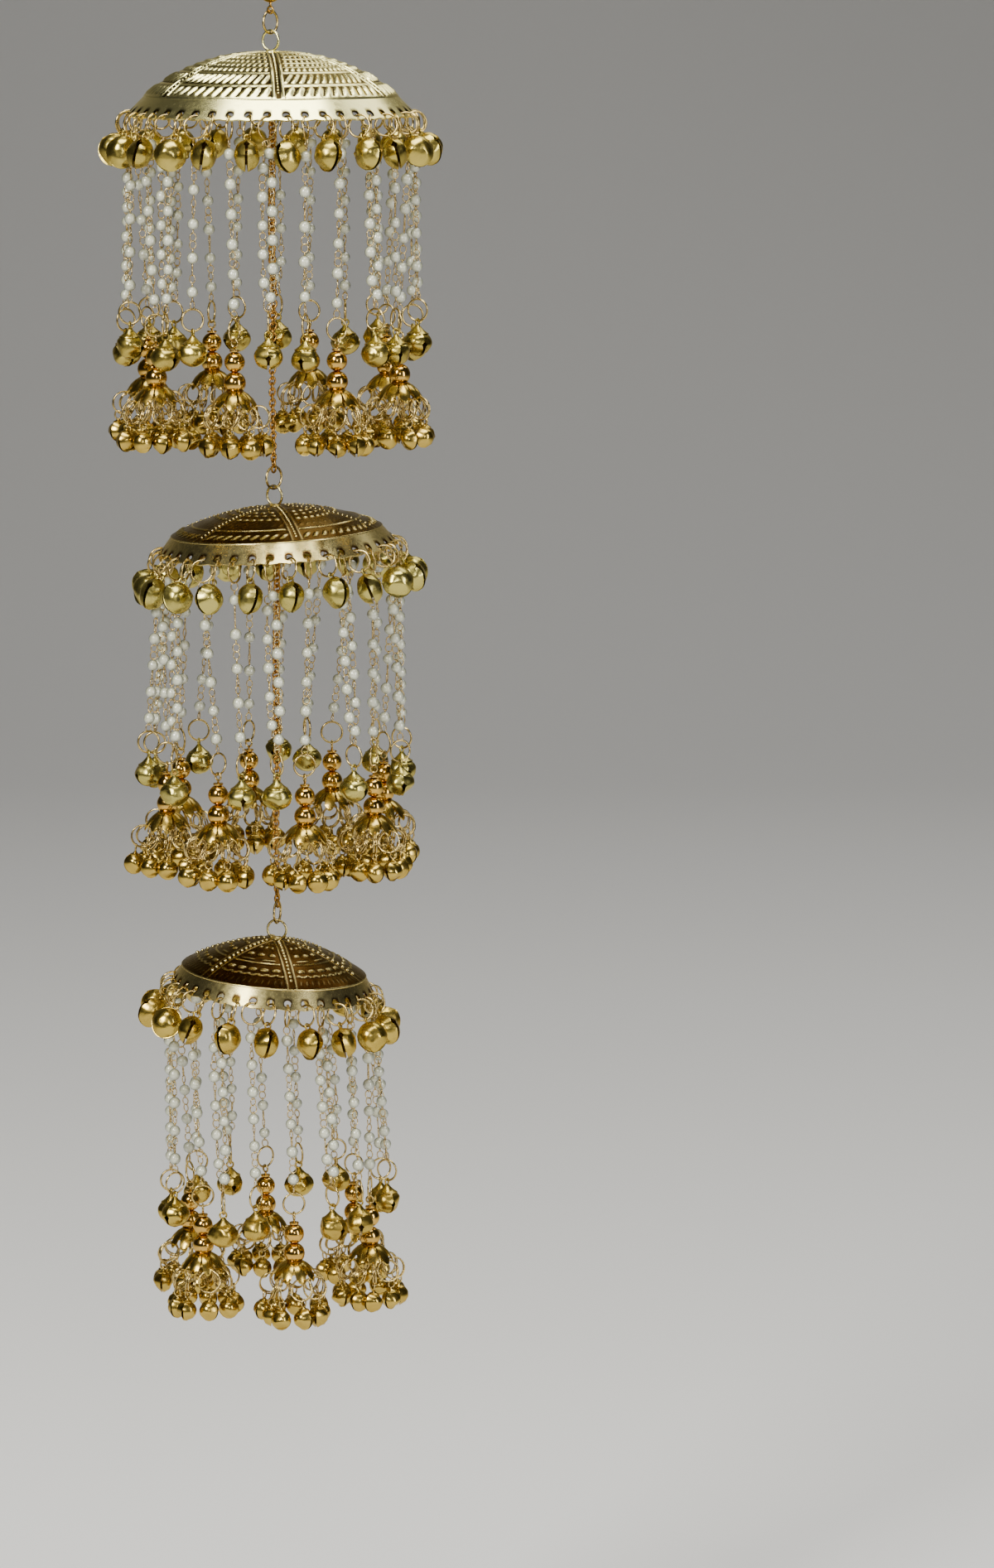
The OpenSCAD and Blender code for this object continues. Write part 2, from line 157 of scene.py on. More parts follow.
def addStudio(sizes):
    floorZ = cadBox[0][2] - sizes["floorDrop"]
    level = sizes["depth"] - sizes["bend"]
    profile = [(-sizes["depth"], floorZ), (level, floorZ)]
    for i in range(1, sizes["bendSteps"] + 1):
        turn = rad(90) * i / sizes["bendSteps"]
        rise = sizes["bend"] * (1 - math.cos(turn))
        profile.append((level + sizes["bend"] * math.sin(turn), floorZ + rise))
    profile.append((sizes["depth"], floorZ + sizes["height"]))
    points, faces = [], []
    for y, z in profile:
        points += [(-sizes["halfWidth"], y, z), (sizes["halfWidth"], y, z)]
    for i in range(len(profile) - 1):
        faces.append((2 * i, 2 * i + 1, 2 * i + 3, 2 * i + 2))
    mesh = bpy.data.meshes.new("floor")
    mesh.from_pydata(points, [], faces)
    mesh.shade_smooth()
    mesh.materials.append(newMaterial("palePaper", sizes["paper"]))
    floor = newObject("floor", mesh)
    world = bpy.data.worlds.new("studioAir")
    world.use_nodes = True
    world.node_tree.nodes["Background"].inputs["Color"].default_value = sizes["world"]
    scene.world = world
    for name, place, size, watts, colour in sizes["boxes"]:
        data = bpy.data.lights.new(name, "AREA")
        data.shape = "RECTANGLE"
        data.size, data.size_y = size
        data.energy = watts
        data.color = colour
        lamp = newObject(name, data)
        lamp.location = place
        aim = Vector(sizes["aim"]) - Vector(place)
        lamp.rotation_euler = aim.to_track_quat("-Z", "Y").to_euler()


addStudio(studio)
print("studio lit")

# Main sizes of the ornament in millimetres, first tier to third, as the frame has them
tiers = {
    "hingeZ": [-25.5, -150.7, -273.8],
    "eaveR": [34.8, 29.4, 26.0],
    "rise": [11.6, 6.7, 8.8],
    "curve": [2.4, 2.0, 1.75],
    "lean": [0, -3, 4.5],
    "apexDrop": [5.1, 4.8, 4.5],
    "ribTurn": [6, 14, 14],
    "linkTurn": [54, 50, 75],
}
skirts = {
    "holes": [48, 40, 36],
    "holeR": [38.6, 32.2, 27.8],
    "holeDrop": [4.3, 4.1, 3.9],
    "holeTurn": [23.5, 8, 1],
    "holeWidth": 2.1,
    "tuck": 0.5,  # how far the skirt starts inside the eave
    "hem": 1.8,
    "sheet": 0.5,
}
rings = {"meanR": 3.0, "wireR": 0.3, "rest": 0.35, "play": 0.12}
strings = {
    "length": 58,
    "tasselLength": 54,
    "footR": [40.2, 35.4, 30.8],
    "lean": [4, 10, 10],
    "seat": 0.15,
    "spread": 1.3,  # half the distance between the two strands of a pair
    # how strings differ: seed, spread, middle
    "footTurn": (40, 1.2),
    "footShift": (10, 0.4),
    "lengthShift": (75, 1.4),
    "ringLean": (0, 0),
    "ringSide": (15, 3),
    "ringTurn": (80, 30, -28),
    "endTurn": (33, 40),
}
tassels = {"count": [8, 8, 6], "footR": [36.3, 31.4, 27.5]}
links = {"meanR": 3.06, "wireR": 0.34, "loopR": 2.76}
unlikeTurn = 137.5  # degrees, so that neighbours are never alike


def vary(i, seed, spread=1, middle=0):
    # A steady difference for each number, the same on every run
    return middle + spread * math.sin(rad(i * unlikeTurn + seed))


def domeZ(t, r):
    return -tiers["apexDrop"][t] - tiers["rise"][t] * (r / tiers["eaveR"][t]) ** tiers["curve"][t]


def eaveZ(t):
    return -tiers["apexDrop"][t] - tiers["rise"][t]


def holeZ(t):
    return eaveZ(t) - skirts["holeDrop"][t]


def skirtTopR(t):
    return tiers["eaveR"][t] - skirts["tuck"]


def alongSkirt(t):
    return Vector((skirts["holeR"][t] - skirtTopR(t), -skirts["holeDrop"][t]))


def holeAngle(t, h):
    return skirts["holeTurn"][t] + h * 360 / skirts["holes"][t]


def stringCount(t):
    return skirts["holes"][t] // 2


def tasselString(t, k):
    return math.floor(k * stringCount(t) / tassels["count"][t] + 0.01)  # against rounding


def bearsTassel(t, s):
    return s in [tasselString(t, k) for k in range(tassels["count"][t])]


def footAngle(t, s):
    k = max(k for k in range(tassels["count"][t]) if tasselString(t, k) <= s)
    first, following = tasselString(t, k), tasselString(t, k + 1)
    turn = holeAngle(t, 1) + (k + (s - first) / (following - first)) * 360 / tassels["count"][t]
    return turn if bearsTassel(t, s) else turn + vary(s, *strings["footTurn"])


def roundPoint(r, angle, z):
    return Vector((r * math.sin(rad(angle)), -r * math.cos(rad(angle)), z))


def about(axis, degrees):
    return Matrix.Rotation(rad(degrees), 4, axis)


def move(x, y, z):
    return Matrix.Translation((x, y, z))


def below(spot, drop):
    return Matrix.Translation(spot - Vector((0, 0, drop)))


def leanMatrix(t):
    return move(0, 0, tiers["hingeZ"][t]) @ about("Y", tiers["lean"][t])


def inHole(t, h, s, sizes):
    # The ring that bears a bell or a string
    down = rings["rest"] * alongSkirt(t).normalized()
    spot = leanMatrix(t) @ about("Z", holeAngle(t, h))
    spot = spot @ move(0, -skirts["holeR"][t] - down[0], holeZ(t) + down[1])
    spot = spot @ about("X", -(sizes["lean"][t] + vary(s, *sizes["ringLean"])))
    return spot @ about("Y", vary(s, *sizes["ringSide"])) @ about("Z", vary(s, *sizes["ringTurn"]))


def stringFoot(t, s):
    if bearsTassel(t, s):
        r, length = tassels["footR"][t], strings["tasselLength"]
    else:
        r = strings["footR"][t] + vary(s, *strings["footShift"])
        length = strings["length"] + vary(s, *strings["lengthShift"])
    return move(0, 0, tiers["hingeZ"][t]) @ roundPoint(r, footAngle(t, s), holeZ(t) - length)


def isPair(t, s):
    return s % 3 == 1 and not bearsTassel(t, s)


# Shader group that all metals share: bright and tarnished gold with fine scratches and shallow dents
polishGroup = newTree(
    "wornPolish", "ShaderNodeTree",
    [("Bright", "Color", (1, 0.8, 0.4, 1)), ("Tarnish", "Color", (0.4, 0.25, 0.1, 1)),
     ("Patch size", "Float", 120.0), ("Tarnish amount", "Float", 0.3),
     ("Smoothness", "Float", 0.15), ("Dent", "Float", 0.1)],
    [("Color", "Color"), ("Roughness", "Float"), ("Normal", "Vector")],
    [("where", "TexCoord", {}),
     ("patches", "TexNoise", {
         "Detail": 5.0, "Roughness": 0.65, "Vector": ("where", "Object"), "Scale": ("given", "Patch size")}),
     ("spread", "MapRange", {
         "From Min": 0.42, "From Max": 0.72, "Value": ("patches", "Fac")}),
     ("amount", "Math", {
         "operation": "MULTIPLY", 0: ("spread", "Result"), 1: ("given", "Tarnish amount")}),
     ("blend", "Mix", {
         "data_type": "RGBA", "A": ("given", "Bright"), "B": ("given", "Tarnish"),
         "Factor": ("amount", "Value")}),
     ("scratches", "TexNoise", {
         "Scale": 900.0, "Detail": 3.0, "Vector": ("where", "Object")}),
     ("rough", "Math", {
         "operation": "MULTIPLY_ADD", 0: ("scratches", "Fac"), 1: 0.16, 2: ("given", "Smoothness")}),
     ("rougher", "Math", {
         "operation": "MULTIPLY_ADD", 0: ("amount", "Value"), 1: 0.2, 2: ("rough", "Value")}),
     ("waves", "TexNoise", {
         "Scale": 260.0, "Detail": 2.0, "Vector": ("where", "Object")}),
     ("bump", "Bump", {
         "Distance": 0.0006, "Strength": ("given", "Dent"), "Height": ("waves", "Fac")}),
     ("out", "NodeGroupOutput", {
         "Color": ("blend", "Result"), "Roughness": ("rougher", "Value"), "Normal": ("bump", "Normal")})])

# Each finish: bright and tarnished colour, patch size, tarnish amount, smoothness, dent, and the
# painted shade colour of what lies deep, where the part has a relief
finishes = {
    "ringGold": ((0.52, 0.395, 0.15, 1), (0.26, 0.155, 0.04, 1), 160, 0.45, 0.12, 0.05, None),
    "beadGold": ((0.58, 0.36, 0.08, 1), (0.36, 0.17, 0.025, 1), 90, 0.35, 0.06, 0.06, None),
    "wireGold": ((0.56, 0.43, 0.20, 1), (0.34, 0.20, 0.07, 1), 150, 0.5, 0.16, 0.05, None),
    "chainGold": ((0.45, 0.24, 0.05, 1), (0.22, 0.10, 0.017, 1), 220, 0.55, 0.18, 0.08, None),
    "bellGold": (
        (0.46, 0.36, 0.085, 1), (0.24, 0.15, 0.026, 1), 110, 0.5, 0.16, 0.45, (0.02, 0.01, 0.002, 1)),
    "bellGreenGold": (
        (0.46, 0.39, 0.11, 1), (0.23, 0.18, 0.035, 1), 110, 0.5, 0.16, 0.45, (0.02, 0.011, 0.002, 1)),
    "bellOrangeGold": (
        (0.47, 0.34, 0.07, 1), (0.25, 0.14, 0.022, 1), 110, 0.5, 0.16, 0.45, (0.02, 0.009, 0.002, 1)),
    "tasselGold": (
        (0.47, 0.33, 0.07, 1), (0.25, 0.14, 0.023, 1), 140, 0.4, 0.13, 0.2, (0.02, 0.01, 0.002, 1)),
    "domePale": (
        (0.85, 0.79, 0.35, 1), (0.55, 0.47, 0.17, 1), 40, 0.16, 0.16, 0.03, (0.016, 0.01, 0.003, 1)),
    "domeDeep": (
        (0.68, 0.57, 0.24, 1), (0.44, 0.33, 0.11, 1), 40, 0.2, 0.17, 0.03, (0.055, 0.022, 0.004, 1)),
}
specularTint = (1.0, 0.88, 0.6, 1)


def makeMetal(name, bright, tarnish, patch, amount, smooth, dent, deep):
    colour = ("polish", "Color")
    rows = [("polish", "Group", {
        "node_tree": polishGroup, "Bright": bright, "Tarnish": tarnish, "Patch size": patch,
        "Tarnish amount": amount, "Smoothness": smooth, "Dent": dent})]
    if deep:
        # painted shade: the relief attribute darkens what lies deep, where shade falls in grooves, holes and
        # slits
        rows += [("relief", "Attribute", {"attribute_name": "relief"}),
                 ("depth", "MapRange", {
                     "From Min": 0.08, "From Max": 0.5, "Value": ("relief", "Fac")}),
                 ("blend", "Mix", {
                     "data_type": "RGBA", "A": deep, "B": colour, "Factor": ("depth", "Result")})]
        colour = ("blend", "Result")
    return newMaterial(name, {
        "Metallic": 1.0, "Specular Tint": specularTint, "Base Color": colour,
        "Roughness": ("polish", "Roughness"), "Normal": ("polish", "Normal")}, rows)


materials = {name: makeMetal(name, *values) for name, values in finishes.items()}

# Pearl: clouded body colour with painted shade that turns it dark and green towards its edge, under a clear
# coat
materials["pearl"] = newMaterial("pearl", {
    "Base Color": ("paintedEdgeShade", "Result"), "Roughness": ("rough", "Result"), "Coat Weight": 1.0,
    "Coat Roughness": 0.08, "Specular IOR Level": 0.9}, [
    ("where", "TexCoord", {}),
    ("cloud", "TexNoise", {"Scale": 180.0, "Detail": 3.0, "Vector": ("where", "Object")}),
    ("blend", "Mix", {
        "data_type": "RGBA", "A": (0.68, 0.68, 0.53, 1), "B": (0.54, 0.55, 0.41, 1),
        "Factor": ("cloud", "Fac")}),
    # painted shade: the pearl turns dark and green where its surface turns away from the camera
    ("facing", "LayerWeight", {"Blend": 0.58}),
    ("paintedEdgeShade", "Mix", {
        "data_type": "RGBA", "A": ("blend", "Result"), "B": (0.055, 0.07, 0.038, 1),
        "Factor": ("facing", "Facing")}),
    ("rough", "MapRange", {"To Min": 0.16, "To Max": 0.32, "Value": ("cloud", "Fac")})])
print("finishes mixed")

# Geometry Nodes: sets one part on every point, turned and sized as the point says
placingTree = newTree(
    "setPartOnPoints", "GeometryNodeTree",
    [("Points", "Geometry"), ("Part", "Object"), ("Finish", "Material"), ("Size change", "Float"),
     ("Seed", "Int")],
    [("Pieces", "Geometry")],
    [("part", "GeometryNodeObjectInfo", {
        "transform_space": "ORIGINAL", "Object": ("given", "Part")}),
     ("turn", "GeometryNodeInputNamedAttribute", {"data_type": "FLOAT_VECTOR", "Name": "turn"}),
     ("turned", "FunctionNodeEulerToRotation", {"Euler": ("turn", "Attribute")}),
     ("size", "GeometryNodeInputNamedAttribute", {"data_type": "FLOAT_VECTOR", "Name": "size"}),
     ("least", "Math", {"operation": "SUBTRACT", 0: 1.0, 1: ("given", "Size change")}),
     ("most", "Math", {"operation": "ADD", 0: 1.0, 1: ("given", "Size change")}),
     ("chance", "FunctionNodeRandomValue", {
         "data_type": "FLOAT", 2: ("least", "Value"), 3: ("most", "Value"), "Seed": ("given", "Seed")}),
     ("scale", "VectorMath", {
         "operation": "SCALE", 0: ("size", "Attribute"), "Scale": ("chance", 1)}),
     ("setOn", "GeometryNodeInstanceOnPoints", {
         "Points": ("given", "Points"), "Instance": ("part", "Geometry"), "Rotation": ("turned", "Rotation"),
         "Scale": ("scale", "Vector")}),
     ("real", "GeometryNodeRealizeInstances", {"Geometry": ("setOn", "Instances")}),
     ("coat", "GeometryNodeSetMaterial", {
         "Geometry": ("real", "Geometry"), "Material": ("given", "Finish")}),
     ("out", "NodeGroupOutput", {"Pieces": ("coat", "Geometry")})])
placingSockets = {item.name: item.identifier for item in placingTree.interface.items_tree}
firstSeed = 7


def layerMesh(layer, finish, seed):
    # One part on all its places, made real; a place is a matrix, or a matrix and a size
    part, places, change = layer
    places = [place if isinstance(place, tuple) else (place, (1, 1, 1)) for place in places]
    points = bpy.data.meshes.new("places")
    points.from_pydata([matrix.to_translation() for matrix, size in places], [], [])
    turns = points.attributes.new("turn", "FLOAT_VECTOR", "POINT")
    sizes = points.attributes.new("size", "FLOAT_VECTOR", "POINT")
    for i, (matrix, size) in enumerate(places):
        turns.data[i].vector = matrix.to_euler()
        sizes.data[i].vector = size
    carrier = newObject("carrier", points)
    modifier = carrier.modifiers.new("placing", "NODES")
    modifier.node_group = placingTree
    given = {"Part": part, "Finish": materials[finish], "Size change": change, "Seed": seed}
    for label, value in given.items():
        modifier[placingSockets[label]] = value
    graph = bpy.context.evaluated_depsgraph_get()
    made = bpy.data.meshes.new_from_object(carrier.evaluated_get(graph))
    carrier.modifiers.remove(modifier)
    bpy.data.objects.remove(carrier)
    return made


def joinedMesh(name, meshes):
    joined = bmesh.new()
    for mesh in meshes:
        joined.from_mesh(mesh)
    data = bpy.data.meshes.new(name)
    joined.to_mesh(data)
    joined.free()
    return data


def addPiece(kind, t, meshes, finish, replaced=()):
    # Joins meshes in millimetres into one piece in metres, which rides on its tier
    name, body = f"{kind}_{t + 1}", f"tier_{t + 1}"
    data = joinedMesh(name, meshes)
    data.transform(Matrix.Scale(metresPerMm, 4))
    data.materials.clear()
    data.materials.append(materials[finish])
    piece = newObject(name, data)
    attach(piece, body)
    if replaced:
        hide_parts(*replaced)
    print(name, len(data.polygons), "faces")


def placedPiece(kind, t, layers, finish, replaced=()):
    # Layers: part, its places, how much its size differs
    meshes = [layerMesh(layer, finish, firstSeed + i) for i, layer in enumerate(layers) if layer[1]]
    addPiece(kind, t, meshes, finish, replaced)


def withRelief(mesh, values):
    # One height for the whole mesh or one for each point: 1 stands out, 0 lies deep and takes the painted
    # shade
    relief = mesh.attributes.new("relief", "FLOAT", "POINT")
    relief.data.foreach_set("value", values if isinstance(values, list) else [values] * len(mesh.vertices))
    return mesh


workParts = []


def partObject(mesh, sharpAngle=None):
    if "relief" not in mesh.attributes:
        withRelief(mesh, 1.0)
    mesh.shade_smooth()
    if sharpAngle:
        mesh.set_sharp_from_angle(angle=rad(sharpAngle))
    part = newObject(mesh.name, mesh)
    part.hide_render = True
    workParts.append(part)
    return part


def meshFrom(points, faces):
    mesh = bpy.data.meshes.new("part")
    mesh.from_pydata(points, [], faces)
    mesh.validate()
    return mesh


def faceOutward(mesh, weld=0):
    # Joins points that are closer than weld, then turns all faces outward
    solid = bmesh.new()
    solid.from_mesh(mesh)
    if weld:
        bmesh.ops.remove_doubles(solid, verts=solid.verts, dist=weld)
    bmesh.ops.recalc_face_normals(solid, faces=solid.faces)
    solid.to_mesh(mesh)
    solid.free()
    return mesh


def gridFaces(rows, columns, wrap, first=0, flip=False, closed=False):
    # Quads between rows of points; wrap closes each row, closed joins the last row to the first
    faces = []
    for i in range(rows if closed else rows - 1):
        here, there = first + i * columns, first + (i + 1) % rows * columns
        for j in range(columns if wrap else columns - 1):
            k = (j + 1) % columns
            quad = (here + j, here + k, there + k, there + j)
            faces.append(quad[::-1] if flip else quad)
    return faces


def poleFaces(count, around):
    # Fans from two poles, which follow the points, to the first and the last row
    last = count - around
    faces = []
    for j in range(around):
        k = (j + 1) % around
        faces += [(count, j, k), (count + 1, last + k, last + j)]
    return faces


def turnedMesh(profile, around):
    # A closed turned form: the profile runs from the top of the axis down to its foot
    points = [(r * math.cos(2 * math.pi * j / around), r * math.sin(2 * math.pi * j / around), z)
              for r, z in profile[1:-1] for j in range(around)]
    faces = gridFaces(len(profile) - 2, around, True, flip=True) + poleFaces(len(points), around)
    points += [(0, 0, profile[0][1]), (0, 0, profile[-1][1])]
    return meshFrom(points, faces)


def torusMesh(meanR, wireR, around, sides, tall=1.0):
    # A ring of wire in the XZ plane, stretched upwards by tall
    points = []
    for i in range(around):
        a = 2 * math.pi * i / around
        for j in range(sides):
            b = 2 * math.pi * j / sides
            reach = meanR + wireR * math.cos(b)
            points.append((
                reach * math.cos(a), wireR * math.sin(b),
                meanR * tall * math.sin(a) + wireR * math.cos(b) * math.sin(a)))
    return meshFrom(points, gridFaces(around, sides, True, closed=True))


def ballMesh(r, around, rows):
    profile = [(r * math.sin(math.pi * i / rows), r * math.cos(math.pi * i / rows)) for i in range(rows + 1)]
    return turnedMesh(profile, around)


print("tools ready")

# Domes: an embossed shell with a rolled lip, a pierced skirt, and the soldered loop
domes = {
    "around": [480, 384, 384],
    "rows": [80, 66, 66],
    "startR": 0.8,
    "crowding": 0.9,  # below 1, rows of points lie closer towards the eave
    "wall": 0.65,
    "inset": 0.4,  # of the inner face, from the skirt and at the axis
    "innerRows": 6,
    "sectors": 6,
    "ground": [0.2, 0.0, 0.0],  # height of the sheet outside the rows of relief
    "fullRelief": 0.34,
    # relief values of the plain parts: below 0.5 they take painted shade, as the holes' edges do
    "plain": {"lip": 0.8, "apex": 0.6, "hole": 0.02, "skirt": 1.0, "loop": 0.9, "boss": 0.5, "eye": 0.6},
    "filled": 0.84,  # share of a row's width that its forms take up
    "ribHalf": 1.25,  # from a rib's middle to each of its raised lines
    "lineHalf": 0.42,
    "lineHeight": [0.36, 0.09, 0.11],
    "ribEdge": 1.9,
    # rows on each dome: kind, inner and outer share of the radius, number in a sector, height, slant
    "relief": [
        [("leaf", 0.885, 0.985, 11, 0.7, 0.6), ("feather", 0.722, 0.865, 12, 0.65, 1.1),
         ("dash", 0.628, 0.700, 12, 0.42, 0.2), ("dash", 0.556, 0.614, 11, 0.36, 0.2),
         ("dash", 0.466, 0.538, 9, 0.36, 0.1), ("dot", 0.375, 0.44, 7, 0.42, 0),
         ("dot", 0.26, 0.33, 5, 0.38, 0)],
        [("comma", 0.865, 0.965, 9, 0.45, 0.7), ("line", 0.786, 0.804, 1, 0.3, 0),
         ("comma", 0.65, 0.75, 9, 0.05, 0.9), ("dash", 0.535, 0.58, 6, 0.36, 0.1),
         ("dot", 0.43, 0.47, 4, 0.26, 0), ("dot", 0.335, 0.38, 3, 0.34, 0),
         ("line", 0.25, 0.265, 1, 0.14, 0)],
        [("comma", 0.87, 0.985, 12, 0.06, 0.3), ("wave", 0.81, 0.855, 7, 0.26, 0),
         ("dash", 0.725, 0.775, 5, 0.42, 0), ("line", 0.63, 0.65, 1, 0.32, 0),
         ("dash", 0.578, 0.598, 2, 0.2, 0), ("dot", 0.46, 0.515, 3, 0.36, 0),
         ("line", 0.395, 0.41, 1, 0.18, 0), ("dot", 0.3, 0.345, 3, 0.3, 0),
         ("line", 0.215, 0.23, 1, 0.14, 0)],
    ],
    # share of its cell that a form fills, and how squarely it ends across and along
    "leaf": (0.78, 2.2, 0),
    "feather": (0.74, 1.8, 5),
    "comma": (0.5, 2, 2.5),
    "dash": (0.72, 3, 2.5),
    "dot": (0.32, 0.5),  # half a dot across and along
    "wave": (0.22, 6.28, 0.55),  # sway, radians in a wave, width of its line
    "vein": (0.75, 0.25, 12.57),  # middle and depth of a feather's ripple, radians in a feather
    "leafTip": 0.35,  # share of a leaf's length that is rounded
    "leafNarrow": 0.3,
    "leafFall": 0.25,
    "lip": [(0.10, -0.06), (0.22, -0.2), (0.24, -0.36), (0.14, -0.52), (-0.12, -0.62)],
    "holeSides": 16,
    "bands": [0.0, 0.55, 1.0],  # shares of the way from a hole's edge to its patch's edge
    "lap": 0.1,  # how far the skirt stays under the eave
    "scallop": 0.22,  # how much deeper the hem is under a hole than between two
    "weld": 0.001,
    "beadR": 0.45,
    "beadScale": [0.7, 0.8, 1.2],
    "beadPitch": [1.1, 1.3, 1.5],
    "beadStart": 0.11,  # shares of the radius where a rib's beads start, and that they cover
    "beadSpan": 0.86,
    "beadLift": 0.04,
    "bossR": 1.7,
    "boss": [(0, 0.62), (0.45, 0.6), (0.7, 0.42), (0.9, 0.15), (1, -0.1), (0.9, -0.3), (0, -0.3)],
    "eyeR": 1.0,  # the eye inside, and its drop from the apex
    "eyeDrop": 1.85,
    "sharp": 50,
}


def bumpAcross(x, power):
    # 1 in the middle of a cell, 0 at its edges
    return max(0.0, 1 - abs(2 * x) ** power)


def rowRelief(row, share, across):
    kind, first, last, count, height, slant = row
    along = (share - first) / (last - first) - 0.5
    if kind != "leaf":
        along /= domes["filled"]
    if abs(along) > 0.5:
        return 0.0
    if kind == "line":
        return height * bumpAcross(along, 2)
    if kind == "wave":
        sway, turns, width = domes["wave"]
        return height * bumpAcross((along + sway * math.sin(turns * across * count)) / width, 2)
    place = across * count + slant * along
    if place < 0 or place > count:
        return 0.0
    cell = place % 1.0 - 0.5
    if kind == "dot":
        halfAcross, halfAlong = domes["dot"]
        return height * math.sqrt(max(0.0, 1 - math.hypot(cell / halfAcross, along / halfAlong) ** 2))
    filled, squareAcross, squareAlong = domes[kind]
    if kind == "leaf":
        # leaves are rounded towards the apex and open at the eave
        tip = math.sqrt(min(1.0, (along + 0.5) / domes["leafTip"]))
        leaf = height * tip * bumpAcross(cell / filled / max(domes["leafNarrow"], tip), squareAcross)
        return leaf * (1 - domes["leafFall"] * (along + 0.5))
    form = height * bumpAcross(cell / filled, squareAcross) * bumpAcross(along, squareAlong)
    if kind == "feather":
        middle, depth, turns = domes["vein"]
        form *= middle + depth * math.cos(turns * cell)
    return form


def reliefAt(t, r, degrees):
    sector, edge = 360 / domes["sectors"], domes["ribEdge"]
    turn = (degrees - tiers["ribTurn"][t]) % sector
    away = r * math.sin(rad(min(turn, sector - turn)))
    if away < edge:
        line = (away - domes["ribHalf"]) / 2 / domes["lineHalf"]
        return domes["lineHeight"][t] * bumpAcross(line, 2)
    margin = math.degrees(math.asin(min(1.0, edge / r)))
    if sector <= 2 * margin:
        return 0.0
    across = (turn - margin) / (sector - 2 * margin)
    share = r / tiers["eaveR"][t]
    rows = [row for row in domes["relief"][t] if row[1] <= share <= row[2]]
    return rowRelief(rows[0], share, across) if rows else domes["ground"][t]


def domeShell(t):
    around, rows, eaveR = domes["around"][t], domes["rows"][t], tiers["eaveR"][t]
    points, heights = [], []
    for i in range(rows):
        r = domes["startR"] + (eaveR - domes["startR"]) * (i / (rows - 1)) ** domes["crowding"]
        base = domeZ(t, r)
        for j in range(around):
            degrees = 360 * j / around
            height = reliefAt(t, r, degrees)
            points.append(roundPoint(r, degrees, base + height))
            # painted shade: low relief takes the deep colour, and so does the bare ground between rows on the
            # second and third dome
            heights.append(height / domes["fullRelief"])
    closing = [(eaveR + dr, eaveZ(t) + dz) for dr, dz in domes["lip"]]
    for i in range(domes["innerRows"] + 1):
        share = i / domes["innerRows"]
        r = (skirtTopR(t) - domes["inset"]) * (1 - share) + domes["inset"] * share
        closing.append((r, domeZ(t, r) - domes["wall"]))
    for r, z in closing:
        points += [roundPoint(r, 360 * j / around, z) for j in range(around)]
    heights += [domes["plain"]["lip"]] * (len(points) - len(heights))
    faces = gridFaces(rows + len(closing), around, True, flip=True) + poleFaces(len(points), around)
    points += [Vector((0, 0, domeZ(t, 0))), Vector((0, 0, domeZ(t, 0) - domes["wall"]))]
    heights += [domes["plain"]["apex"]] * 2
    return withRelief(meshFrom(points, faces), heights)


def skirtShell(t):
    # Each hole has its own patch of sheet: a square of wall round a ring of points
    sides, bands = domes["holeSides"], domes["bands"]
    holeR = skirts["holeWidth"] / 2
    slope = alongSkirt(t)
    down = slope.normalized()
    off = Vector((-down[1], down[0]))
    topS = domes["lap"] - slope.length
    halfTurn = 180 / skirts["holes"][t]
    points, faces, heights = [], [], []

    def spot(angle, s, layer):
        reach = skirts["holeR"][t] + s * down[0] + layer * off[0] * skirts["sheet"] / 2
        height = holeZ(t) + s * down[1] + layer * off[1] * skirts["sheet"] / 2
        return roundPoint(reach, angle, height)

    for h in range(skirts["holes"][t]):
        rims = []
        for layer in (1, -1):
            rims.append(len(points))
            faces += gridFaces(sides, len(bands), False, len(points), layer == 1, True)
            for i in range(sides):
                x, y = math.cos(2 * math.pi * i / sides), math.sin(2 * math.pi * i / sides)
                stretch = 1 / max(abs(x), abs(y))
                squareX, squareS = x * stretch, y * stretch
                hemS = skirts["hem"] + domes["scallop"] * math.cos(math.pi * squareX)
                outerS = squareS * hemS if squareS > 0 else -squareS * topS
                for share in bands:
                    s = y * holeR * (1 - share) + outerS * share
                    aside = math.degrees(x * holeR / skirts["holeR"][t]) * (1 - share)
                    points.append(spot(holeAngle(t, h) + (aside + squareX * halfTurn * share), s, layer))
                    # painted shade: the ring round each hole takes the deep colour
                    heights.append(domes["plain"]["skirt" if share else "hole"])
        for i in range(sides):
            # walls in the hole and at a patch's upper and lower edge, but not where two patches join
            here, there = len(bands) * i, len(bands) * ((i + 1) % sides)
            wall = [rims[0] + here, rims[0] + there, rims[1] + there, rims[1] + here]
            faces.append(wall[::-1])
            if sides // 8 <= i % (sides // 2) < sides * 3 // 8:
                faces.append([point + len(bands) - 1 for point in wall])
    return faceOutward(withRelief(meshFrom(points, faces), heights), domes["weld"])


def makeDome(t):
    apex, relief = -tiers["apexDrop"][t], domes["plain"]
    loop = torusMesh(links["loopR"], links["wireR"], 40, 12)
    loopZ = 2 * links["wireR"] + rings["play"] - links["loopR"]
    loop.transform(move(0, 0, loopZ) @ about("Z", tiers["linkTurn"][t] + 90))
    boss = turnedMesh([(domes["bossR"] * share, apex + z) for share, z in domes["boss"]], 24)
    parts = [domeShell(t), skirtShell(t), withRelief(loop, relief["loop"]), withRelief(boss, relief["boss"])]
    if t < 2:
        eye = torusMesh(domes["eyeR"], links["wireR"], 20, 8)
        eye.transform(move(0, 0, apex - domes["eyeDrop"]))
        parts.append(withRelief(eye, relief["eye"]))
    for part in parts:
        part.shade_smooth()
        part.set_sharp_from_angle(angle=rad(domes["sharp"]))
        part.transform(leanMatrix(t))
    addPiece("dome_skin", t, parts, domeFinish[t], [f"dome_{t + 1}"])


